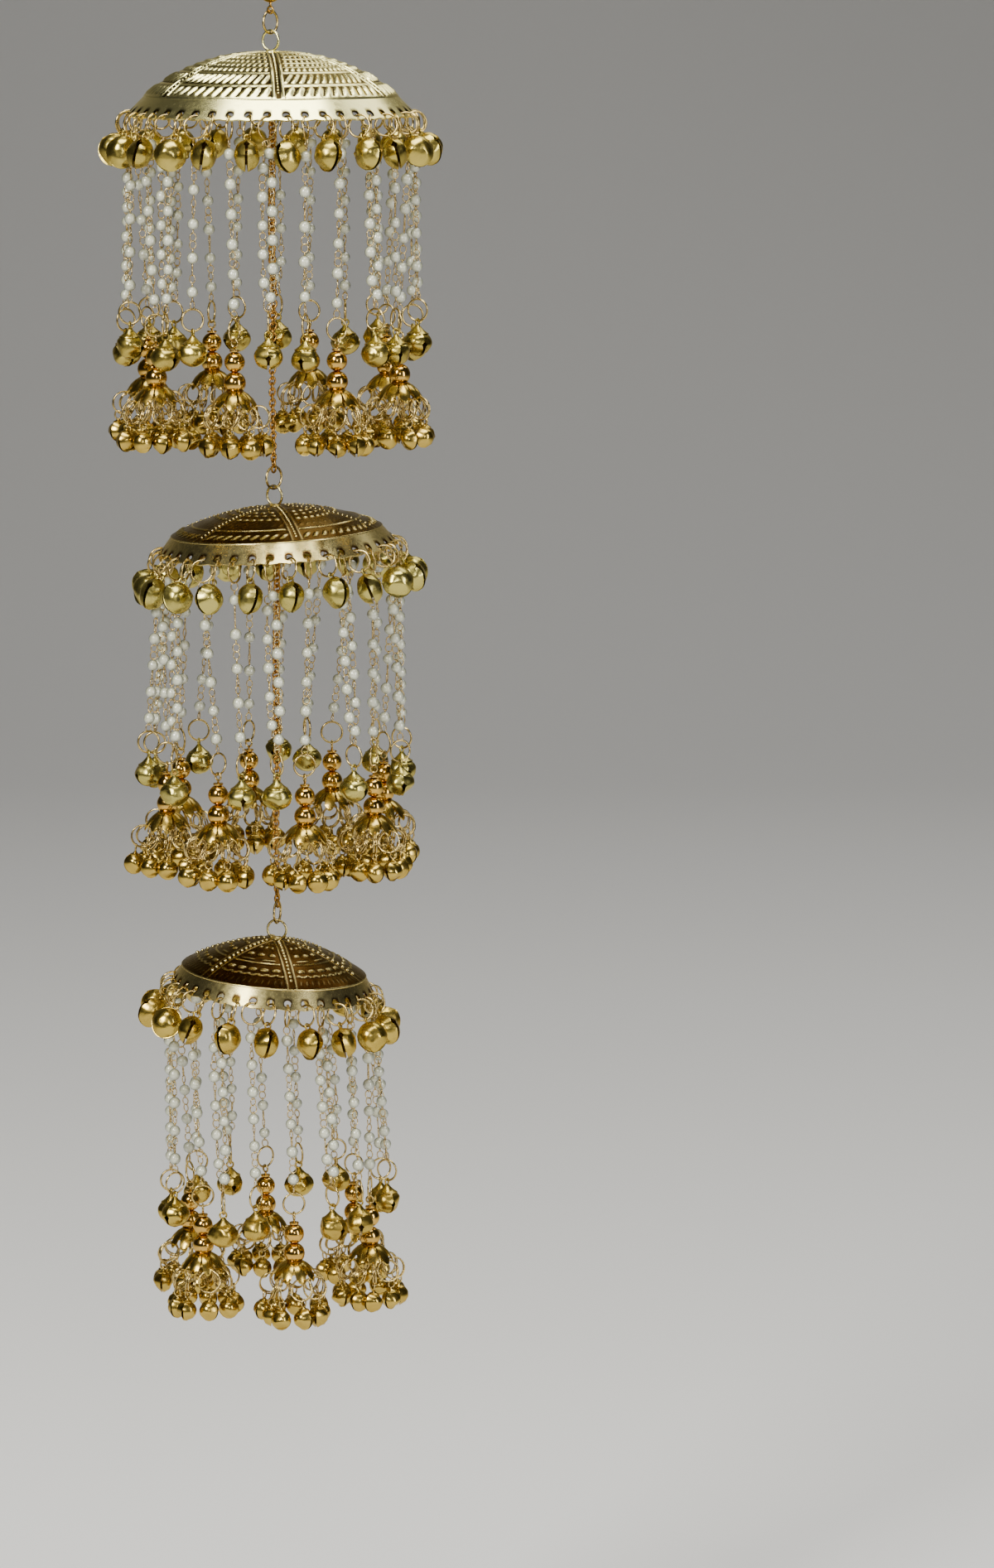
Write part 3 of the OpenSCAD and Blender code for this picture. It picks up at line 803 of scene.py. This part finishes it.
def ribBeads(t):
    # The row of small beads between a rib's two raised lines
    places = []
    pitch, grow, eaveR = domes["beadPitch"][t], domes["beadScale"][t], tiers["eaveR"][t]
    for k in range(domes["sectors"]):
        turn = tiers["ribTurn"][t] + k * 360 / domes["sectors"]
        for i in range(int(eaveR * domes["beadSpan"] / pitch)):
            r = eaveR * domes["beadStart"] + pitch * (i + 0.5)
            spot = roundPoint(r, turn, domeZ(t, r) + domes["beadLift"])
            places.append((leanMatrix(t) @ Matrix.Translation(spot), (grow, grow, grow)))
    return places


domeFinish = ["domePale", "domeDeep", "domeDeep"]
rowBead = partObject(ballMesh(domes["beadR"], 8, 5))
for t in tierNumbers:
    makeDome(t)
    placedPiece("rib_beads", t, [(rowBead, ribBeads(t), 0.06)], domeFinish[t])
print("domes embossed")

# Bells: two bulged halves folded together, open in a slit that ends in a keyhole on either side
bellSizes = {
    "width": 8.5,
    "thick": 6.8,
    "lean": [24, 28, 29],
    "eyeR": 0.95,
    "eyeWire": 0.27,
    "bodyDrop": 4.8,
    "slit": 0.36,
    "keyhole": 0.95,
    "slitStart": 56,  # degrees from the top of the bell
    "opening": 8,  # degrees over which the slit opens, and half a keyhole
    "keyholeAt": 9,  # degrees from the start of the slit
    "groove": 1.6,
    "fold": 0.02,  # half the gap where the halves touch, and how deep it goes
    "foldDepth": 0.12,
    "point": 0.05,
    "around": 40,
    "rows": 6,
    "crowding": 0.8,
    "bulge": (2.5, 0.62),
    "shoulder": 0.99,  # shares of the rim's radius beside the lip and on it
    "lip": 1.012,
    "flats": 2,  # pressed places: how far out they lie, and how deep they are pressed
    "flatReach": (0.84, 0.95),
    "flatShare": 0.8,
    "flatDepth": 0.65,
    "dent": 0.06,
    "dentScale": 0.4,
    "tall": 1.0,
    "variants": 5,
    "sharp": 48,
    "collarSides": 14,
    "collar": [(0, -0.66), (0.5, -0.7), (0.62, -0.9), (1.15, -1.1), (1.5, -1.2), (1.45, -1.35), (2.1, -1.75),
               (2.15, -1.95), (1.9, -2.3), (0, -2.4)],
    # how bells differ: seed, spread, middle
    "ringLean": (0, 2),
    "ringSide": (100, 2),
    "ringTurn": (60, 4, 32),
    "bodyTurn": (20, 45, -35),
}
endBellSizes = dict(
    bellSizes, width=8.3, thick=7.7, bodyDrop=5.65, slitStart=84, keyhole=0.85, groove=1.3, tall=0.84,
    collar=[(0, -0.66), (0.5, -0.7), (0.66, -0.95), (1.1, -1.5), (1.9, -2.3), (2.75, -2.95), (3.0, -3.0),
            (3.05, -3.25), (2.6, -3.6), (0, -3.7)], bodyTurn=(55, 60, 20))
smallBellSizes = dict(
    bellSizes, width=5.8, thick=5.6, bodyDrop=0, slit=0.28, keyhole=0.6, slitStart=78, groove=0.8, around=16,
    rows=3, dent=0.012, variants=3, sharp=55, collarSides=10,
    collar=[(0, 3.5), (0.4, 3.45), (0.6, 3.05), (1.5, 2.6), (1.4, 2.2), (0, 2.2)])


def smoothStep(x):
    x = min(1.0, max(0.0, x))
    return x * x * (3 - 2 * x)


def bellHalf(sizes, degrees):
    # Distances from the fold and the middle, from the pole to the rim and into the groove
    half, rows = sizes["width"] / 2, sizes["rows"]
    past = min(degrees, 360 - degrees) - sizes["slitStart"]
    opened = smoothStep(past / sizes["opening"])
    keyhole = math.exp(-((past - sizes["keyholeAt"]) / sizes["opening"]) ** 2)
    gap = sizes["fold"] + opened * sizes["slit"] + keyhole * (sizes["keyhole"] - sizes["slit"])
    rim = half * (1 + sizes["point"] * max(0.0, -math.cos(rad(degrees))) ** 6)
    side = []
    for k in range(rows):
        share = ((k + 1) / rows) ** sizes["crowding"]
        x = sizes["thick"] / 2 * (1 - share ** sizes["bulge"][0]) ** sizes["bulge"][1]
        side.append((max(x, gap), rim * share * (1.0 if k == rows - 1 else sizes["shoulder"])))
    return side + [(gap, rim * sizes["lip"]), (gap, rim - (sizes["foldDepth"] + opened * sizes["groove"]))]


def bellBody(sizes, seed):
    # Points run from one pole over the fold with its groove to the other pole
    chance = random.Random(seed)
    around, rows = sizes["around"], sizes["rows"]
    flats = []
    for i in range(sizes["flats"]):
        direction = Vector((chance.choice((-1, 1)) * chance.uniform(0.5, 0.9), chance.uniform(-0.7, 0.7),
                            chance.uniform(-0.8, 0.5))).normalized()
        reach = chance.uniform(*sizes["flatReach"]) * sizes["width"] / 2 * sizes["flatShare"]
        flats.append((direction, reach))
    shift = Vector((seed * 3.7, seed * 1.3, 0))
    turns = [360 * (i + 0.5) / around for i in range(around)]
    columns = [(degrees, bellHalf(sizes, degrees)) for degrees in turns]
    points, heights = [], []
    for sign in (-1, 1):
        for k in range(rows + 2)[::-sign]:
            for degrees, side in columns:
                x, r = side[k]
                spot = Vector((sign * x, r * math.sin(rad(degrees)), r * math.cos(rad(degrees))))
                if k < rows:
                    for direction, reach in flats:
                        over = spot.dot(direction) - reach
                        if over > 0:
                            spot -= direction * over * sizes["flatDepth"]
                    spot *= 1 + sizes["dent"] * noise.noise(spot * sizes["dentScale"] + shift)
                points.append(spot)
                # painted shade: the groove's floor takes the deep colour, where shade falls in the slit
                heights.append(0.0 if k == rows + 1 else 1.0)
    faces = gridFaces(2 * (rows + 2), around, True)
    faces += [(a, c, b) for a, b, c in poleFaces(len(points), around)]
    points += [Vector((sign * sizes["thick"] / 2, 0, 0)) for sign in (-1, 1)]
    return withRelief(faceOutward(meshFrom(points, faces)), heights + [1.0, 1.0])


def bellVariants(sizes, seed):
    # Bells with their necks; the origin is the middle of the eye, or of a small bell's body
    parts = []
    for i in range(sizes["variants"]):
        body = bellBody(sizes, seed + i)
        body.transform(move(0, 0, -sizes["bodyDrop"]) @ Matrix.Diagonal((1, 1, sizes["tall"], 1)))
        collar = withRelief(turnedMesh(sizes["collar"], sizes["collarSides"]), 1.0)
        parts.append(partObject(joinedMesh("bell", [body, collar]), sizes["sharp"]))
    return parts


bellParts = bellVariants(bellSizes, 1)
endBellParts = bellVariants(endBellSizes, 11)
eyePart = partObject(torusMesh(bellSizes["eyeR"], bellSizes["eyeWire"], 14, 6))
ringPart = partObject(torusMesh(rings["meanR"], rings["wireR"], 26, 6))


def endTurn(t, s):
    return footAngle(t, s) + vary(s, *strings["endTurn"])


def bellEyes(t):
    # Places of the eyes with each body's turn: of rim bells, and of the bells that end strings
    drop = 2 * rings["meanR"] + bellSizes["eyeR"] - rings["wireR"] - bellSizes["eyeWire"] - rings["play"]
    endDrop = strings["seat"] + bellSizes["eyeR"] + bellSizes["eyeWire"]
    rim, end = [], []
    for s in range(stringCount(t)):
        rim.append((inHole(t, 2 * s, s, bellSizes) @ move(0, 0, -drop), vary(s, *bellSizes["bodyTurn"])))
        if not bearsTassel(t, s):
            place = below(stringFoot(t, s), endDrop) @ about("Z", endTurn(t, s))
            end.append((place, vary(s, *endBellSizes["bodyTurn"])))
    return rim, end


def makeBells(t):
    layers, eyes = [], []
    for shapes, group in zip((bellParts, endBellParts), bellEyes(t)):
        eyes += [place for place, turn in group]
        for i, part in enumerate(shapes):
            places = [place @ about("Z", turn) for k, (place, turn) in enumerate(group)
                      if (3 * k + t) % len(shapes) == i]
            layers.append((part, places, 0.02))
    layers.append((eyePart, eyes, 0.0))
    nodes = [f"rim_bells_{t + 1}", f"end_bells_{t + 1}"]
    placedPiece("bells", t, layers, bellFinish[t], nodes)


bellFinish = ["bellGold", "bellGreenGold", "bellOrangeGold"]
for t in tierNumbers:
    makeBells(t)
print("bells hung")

# Pearl strings: pearls on wire that is turned into an eye at either end
pearlSizes = {
    "r": 1.62,
    "eyeR": 0.9,
    "eyeTall": 1.25,
    "wireR": 0.17,
    "pinR": 1.5,  # times the wire's radius
    "lap": 0.1,  # of one eye in the next
    "aboutPitch": 8.2,
    "countShift": (9, 0.45),
    "sway": 0.3,
    "parting": 2.2,  # how soon the strands of a pair part
    "longLink": 1.6,
}
pearlPart = partObject(ballMesh(pearlSizes["r"], 12, 8))
pearlEye = partObject(torusMesh(pearlSizes["eyeR"], pearlSizes["wireR"], 12, 5, pearlSizes["eyeTall"]))
pinR = pearlSizes["wireR"] * pearlSizes["pinR"]
pinPart = partObject(turnedMesh([(0, 0.5), (pinR, 0.5), (pinR, -0.5), (0, -0.5)], 6))


def alongMatrix(spot, direction, turn):
    upright = direction.to_track_quat("Z", "Y").to_matrix().to_4x4()
    return Matrix.Translation(spot) @ upright @ about("Z", turn)


def onStrand(start, end, sideways, share):
    # A strand soon leaves its neighbour below the ring that bears both
    apart = min(1.0, pearlSizes["parting"] * math.sin(math.pi * share))
    return start + (end - start) * share + apart * sideways


def strandUnits(start, end, sideways, count, inset, seed):
    # Where each pearl of a strand sits, with the way it points up
    units = []
    for i in range(count):
        top, foot = [onStrand(start, end, sideways, inset + (1 - 2 * inset) * k / count) for k in (i, i + 1)]
        units.append(((top + foot) / 2, (top - foot).normalized(), (top - foot).length, 71 * i + 37 * seed))
    return units


def makeStrings(t):
    pearls, eyes, pins, ringPlaces = [], [], [], []
    eyeReach = pearlSizes["eyeR"] * pearlSizes["eyeTall"]
    # the end ring's lowest wire lies in the bell's eye
    endRingDrop = 2 * bellSizes["eyeWire"] + strings["seat"] + rings["wireR"] - rings["meanR"]
    for s in range(stringCount(t)):
        ring = inHole(t, 2 * s + 1, s, strings)
        ringPlaces.append(ring @ move(0, 0, -rings["meanR"]) @ about("Z", 90))
        start = (ring @ move(0, 0, -2 * rings["meanR"])).to_translation()
        foot = stringFoot(t, s)
        if bearsTassel(t, s):
            end = below(foot, strings["seat"] + rings["wireR"]).to_translation()
        else:
            ringPlaces.append(below(foot, endRingDrop) @ about("Z", endTurn(t, s) + 90))
            end = below(foot, endRingDrop - rings["meanR"]).to_translation()
        tangent = roundPoint(1, footAngle(t, s) + 90, 0)
        if isPair(t, s):
            sways = [tangent * strings["spread"], tangent * -strings["spread"]]
        else:
            sways = [tangent * pearlSizes["sway"] * vary(s, 5)]
        for n, sway in enumerate(sways):
            room = (start - end).length / pearlSizes["aboutPitch"]
            count = round(room + vary(s, *pearlSizes["countShift"]))
            inset = 0.5 / count if n else 0
            for share in (inset / 2, 1 - inset / 2) if n else ():
                # a long link at either end sets a pair's second strand half a pearl lower
                link = alongMatrix(onStrand(start, end, sway, share), start - end, 50 * s)
                eyes.append((link, (1, 1, pearlSizes["longLink"])))
            for spot, up, length, turn in strandUnits(start, end, sway, count - n, inset, s + 5 * n):
                pearls.append(alongMatrix(spot, up, turn))
                reach = length / 2 - eyeReach + pearlSizes["lap"]
                pinAt = (pearlSizes["r"] + reach - eyeReach) / 2
                for side in (-1, 1):
                    eyes.append(alongMatrix(spot + up * side * reach, up, turn + 45 * side))
                    pins.append(alongMatrix(spot + up * side * pinAt, up, 0))
    placedPiece("pearls", t, [(pearlPart, pearls, 0.05)], "pearl", [f"pearl_strings_{t + 1}"])
    placedPiece("string_wires", t, [(pearlEye, eyes, 0.06), (pinPart, pins, 0.0)], "wireGold")
    placedPiece("string_rings", t, [(ringPart, ringPlaces, 0.0)], "ringGold")


for t in tierNumbers:
    makeStrings(t)
print("pearls strung")

# Tassels: end ring, pin with two beads, petalled cap, and bells on doubled jump rings
tasselSizes = {
    "turnStep": 11,  # how much each tassel is turned on from the last
    "beadR": 2.9,
    "beads": [(-11.9, 0.96), (-17.5, 1.03)],  # height and scale of each bead
    "beadTurn": 40,
    "eyeZ": -6.8,
    "eyeR": 1.0,
    "eyeWire": 0.3,
    "capZ": -20.7,
    "bells": 9,
    "ringAt": (5.1, 0, -24.0),
    "ringR": 3.1,
    "ringWire": 0.24,
    "ringApart": 0.25,  # of two rings from their middle, and their tilt
    "ringTilt": 3,
    "smallEyeR": 0.95,
    "smallEyeTall": 1.2,
    "smallEyeDrop": 0.75,
    "neck": 2.3,
    "bellAside": 120,  # turn of a bell against the way its rings hang
    # how the hanging bells differ: seed, spread, middle
    "differ": {"hangTurn": (10, 3), "hangLean": (30, 7, -30), "hangShift": (75, 0.25),
               "ringTurn": (50, 35, 30), "levelTurn": (25, 50), "levelTilt": (5, 7), "bodyTurn": (12, 360)},
    "pin": [(0, -7.7), (0.3, -7.7), (0.3, -8.55), (1.35, -8.6), (1.4, -8.85), (1.3, -9.1), (0.3, -9.15),
            (0.3, -20.7), (0, -20.7)],
    "core": [(0, 0.75), (1.1, 0.7), (1.7, 0.35), (2.9, -0.7), (3.9, -2.2), (3.5, -2.4), (2.2, -1.3),
             (0, -0.6)],
    # reach and height of a petal's middle line, from the pin outwards, and the share of its width
    "petal": [(0.8, 0.6, 0.3), (2.2, 0.45, 0.5), (3.6, -0.35, 0.75), (4.9, -1.6, 0.95), (5.8, -3.0, 0.9),
              (6.3, -4.1, 0.5), (6.45, -4.6, 0.12)],
    "petalWidth": 3.0,
    "petalArch": 0.42,
    "petalLayers": (0.16, -0.12),
    "petalPoints": 5,
}


def petalMesh(sizes):
    # A curved leaf with a rounded back, closed underneath
    points, across, rows = [], sizes["petalPoints"], len(sizes["petal"])
    for layer in sizes["petalLayers"]:
        for reach, z, share in sizes["petal"]:
            for j in range(across):
                x = (j / (across - 1) - 0.5) * sizes["petalWidth"] * share
                arch = sizes["petalArch"] * (1 - (2 * x / sizes["petalWidth"]) ** 2)
                points.append((reach + layer * 0.5, x, z + arch + layer))
    under = rows * across
    faces = gridFaces(rows, across, False) + gridFaces(rows, across, False, under, True)
    edge = list(range(across)) + [i * across + across - 1 for i in range(1, rows)]
    edge += [(rows - 1) * across + j for j in range(across - 2, -1, -1)]
    edge += [i * across for i in range(rows - 2, 0, -1)]
    for a, b in zip(edge, edge[1:] + edge[:1]):
        faces.append((a, b, under + b, under + a))
    return faceOutward(meshFrom(points, faces))


petalPart = partObject(petalMesh(tasselSizes), 60)
tasselBead = partObject(ballMesh(tasselSizes["beadR"], 22, 12))
capCore = partObject(turnedMesh(tasselSizes["core"], 18))
tasselPin = partObject(turnedMesh(tasselSizes["pin"], 10), 50)
smallRing = partObject(torusMesh(tasselSizes["ringR"], tasselSizes["ringWire"], 18, 5))
smallEye = partObject(torusMesh(
    tasselSizes["smallEyeR"], tasselSizes["ringWire"], 10, 5, tasselSizes["smallEyeTall"]))
pinEye = partObject(torusMesh(tasselSizes["eyeR"], tasselSizes["eyeWire"], 16, 6))
smallBells = bellVariants(smallBellSizes, 20)


def makeTassels(t):
    beads, petals, cores, pins, endRings, eyes, hoops, hoopEyes = [], [], [], [], [], [], [], []
    bells = [[] for part in smallBells]
    sizes, count = tasselSizes, tassels["count"][t]
    for k in range(count):
        s = tasselString(t, k)
        place = below(stringFoot(t, s), strings["seat"]) @ about("Z", footAngle(t, s) + sizes["turnStep"] * k)
        endRings.append(place @ move(0, 0, -rings["meanR"] - rings["wireR"]))
        eyes.append(place @ move(0, 0, sizes["eyeZ"]) @ about("Z", 90))
        pins.append(place)
        cores.append(place @ move(0, 0, sizes["capZ"]))
        for z, grow in sizes["beads"]:
            beads.append((place @ move(0, 0, z) @ about("Z", sizes["beadTurn"] * k), (grow, grow, grow)))
        for b in range(sizes["bells"]):
            turn = b * 360 / sizes["bells"]
            seed = 9 * k + b + 3 * t
            petals.append(place @ about("Z", turn) @ move(0, 0, sizes["capZ"]))
            differ = {key: vary(seed, *values) for key, values in sizes["differ"].items()}
            hang = place @ about("Z", turn + differ["hangTurn"]) @ move(*sizes["ringAt"])
            hang = hang @ about("Y", differ["hangLean"]) @ move(0, 0, differ["hangShift"])
            middle = hang @ move(0, 0, -sizes["ringR"]) @ about("Z", differ["ringTurn"])
            for side in (-1, 1):
                hoop = middle @ move(0, sizes["ringApart"] * side, 0)
                hoops.append(hoop @ about("X", sizes["ringTilt"] * side))
            low = (hang @ move(0, 0, -2 * sizes["ringR"])).to_translation()
            level = Matrix.Translation(low) @ about("Z", turn + sizes["bellAside"] + differ["levelTurn"])
            level = level @ about("X", differ["levelTilt"])
            hoopEyes.append(level @ move(0, 0, -sizes["smallEyeDrop"]))
            body = level @ move(0, 0, -sizes["neck"] - smallBellSizes["width"] / 2)
            bells[seed % len(bells)].append(body @ about("Z", differ["bodyTurn"]))
    nodes = [f"tassel_{t + 1}_{k + 1}" for k in range(count)]
    for kind, layers, finish, replaced in (
            ("bells", [(part, bells[i], 0.03) for i, part in enumerate(smallBells)], "tasselGold", nodes),
            ("beads", [(tasselBead, beads, 0.015), (tasselPin, pins, 0.0)], "beadGold", ()),
            ("caps", [(petalPart, petals, 0.03), (capCore, cores, 0.0)], "tasselGold", ()),
            ("rings", [(smallRing, hoops, 0.03), (smallEye, hoopEyes, 0.03), (ringPart, endRings, 0.0),
                       (pinEye, eyes, 0.0)], "ringGold", ())):
        placedPiece(f"tassel_{kind}", t, layers, finish, replaced)


for t in tierNumbers:
    makeTassels(t)
print("tassels hung")

# Chains: flat twisted links from the eye in a dome to the next tier's ring
chains = {
    "pitch": 1.5,
    "linkR": 0.88,
    "wireR": 0.31,
    "tall": 1.3,
    "lay": 32,  # each link lies this much out of the chain's flat side, by turns
    "slant": 20,
    "facing": (2, 95),  # turn of the flat side at the chain's top and foot
    "waver": (9, 11.0),  # of the flat side: degrees, and radians over the whole chain
    "footGap": 0.3,
    "route": [(0, 0), (0.3, -0.2), (-0.2, 0.3), (0.2, 0.2), (-0.3, -0.1), (0, 0)],
}
chainLink = partObject(torusMesh(chains["linkR"], chains["wireR"], 12, 6, chains["tall"]))


def makeChain(t):
    apex, route = tiers["apexDrop"][t], chains["route"]
    reach = chains["linkR"] * chains["tall"]
    topZ = tiers["hingeZ"][t] - apex - domes["eyeDrop"] - domes["eyeR"] + reach - links["wireR"]
    footZ = tiers["hingeZ"][t + 1] + 2 * links["meanR"] - reach + links["wireR"] + chains["footGap"]
    startX = -math.sin(rad(tiers["lean"][t])) * (apex + domes["eyeDrop"] + domes["eyeR"])
    count = int((topZ - footZ) / chains["pitch"])
    places = []
    for i in range(count + 1):
        share = i / count
        step = share * (len(route) - 1)
        k = min(int(step), len(route) - 2)
        near = step - k
        x, y = [route[k][axis] * (1 - near) + route[k + 1][axis] * near for axis in (0, 1)]
        side = 1 if i % 2 else -1
        facing = chains["facing"][0] * (1 - share ** 2) + chains["facing"][1] * share ** 2
        facing += chains["waver"][0] * math.sin(share * chains["waver"][1])
        place = move(x + startX * (1 - share), y, topZ + (footZ - topZ) * share) @ about("Z", facing)
        places.append(place @ about("Z", side * chains["lay"]) @ about("Y", chains["slant"]))
    placedPiece("chain_links", t, [(chainLink, places, 0.0)], "chainGold", [f"chain_{t + 1}"])


for t in (0, 1):
    makeChain(t)
print("chains linked")

# The frame's own solids keep their shape and get their metal
nodeFinishes = {
    "hang_ring": "ringGold", "top_bead": "beadGold", "top_link": "ringGold", "chain_link": "ringGold",
    "rim_rings": "ringGold", "dome": "beadGold", "chain": "chainGold", "rim_bells": "bellGold",
    "pearl_strings": "wireGold", "end_bells": "bellGold", "tassel": "tasselGold",
}
for name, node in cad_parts.items():
    for i in range(len(node.data.materials)):
        node.data.materials[i] = materials[nodeFinishes[name.rstrip("0123456789_")]]

for part in workParts:
    bpy.data.objects.remove(part)
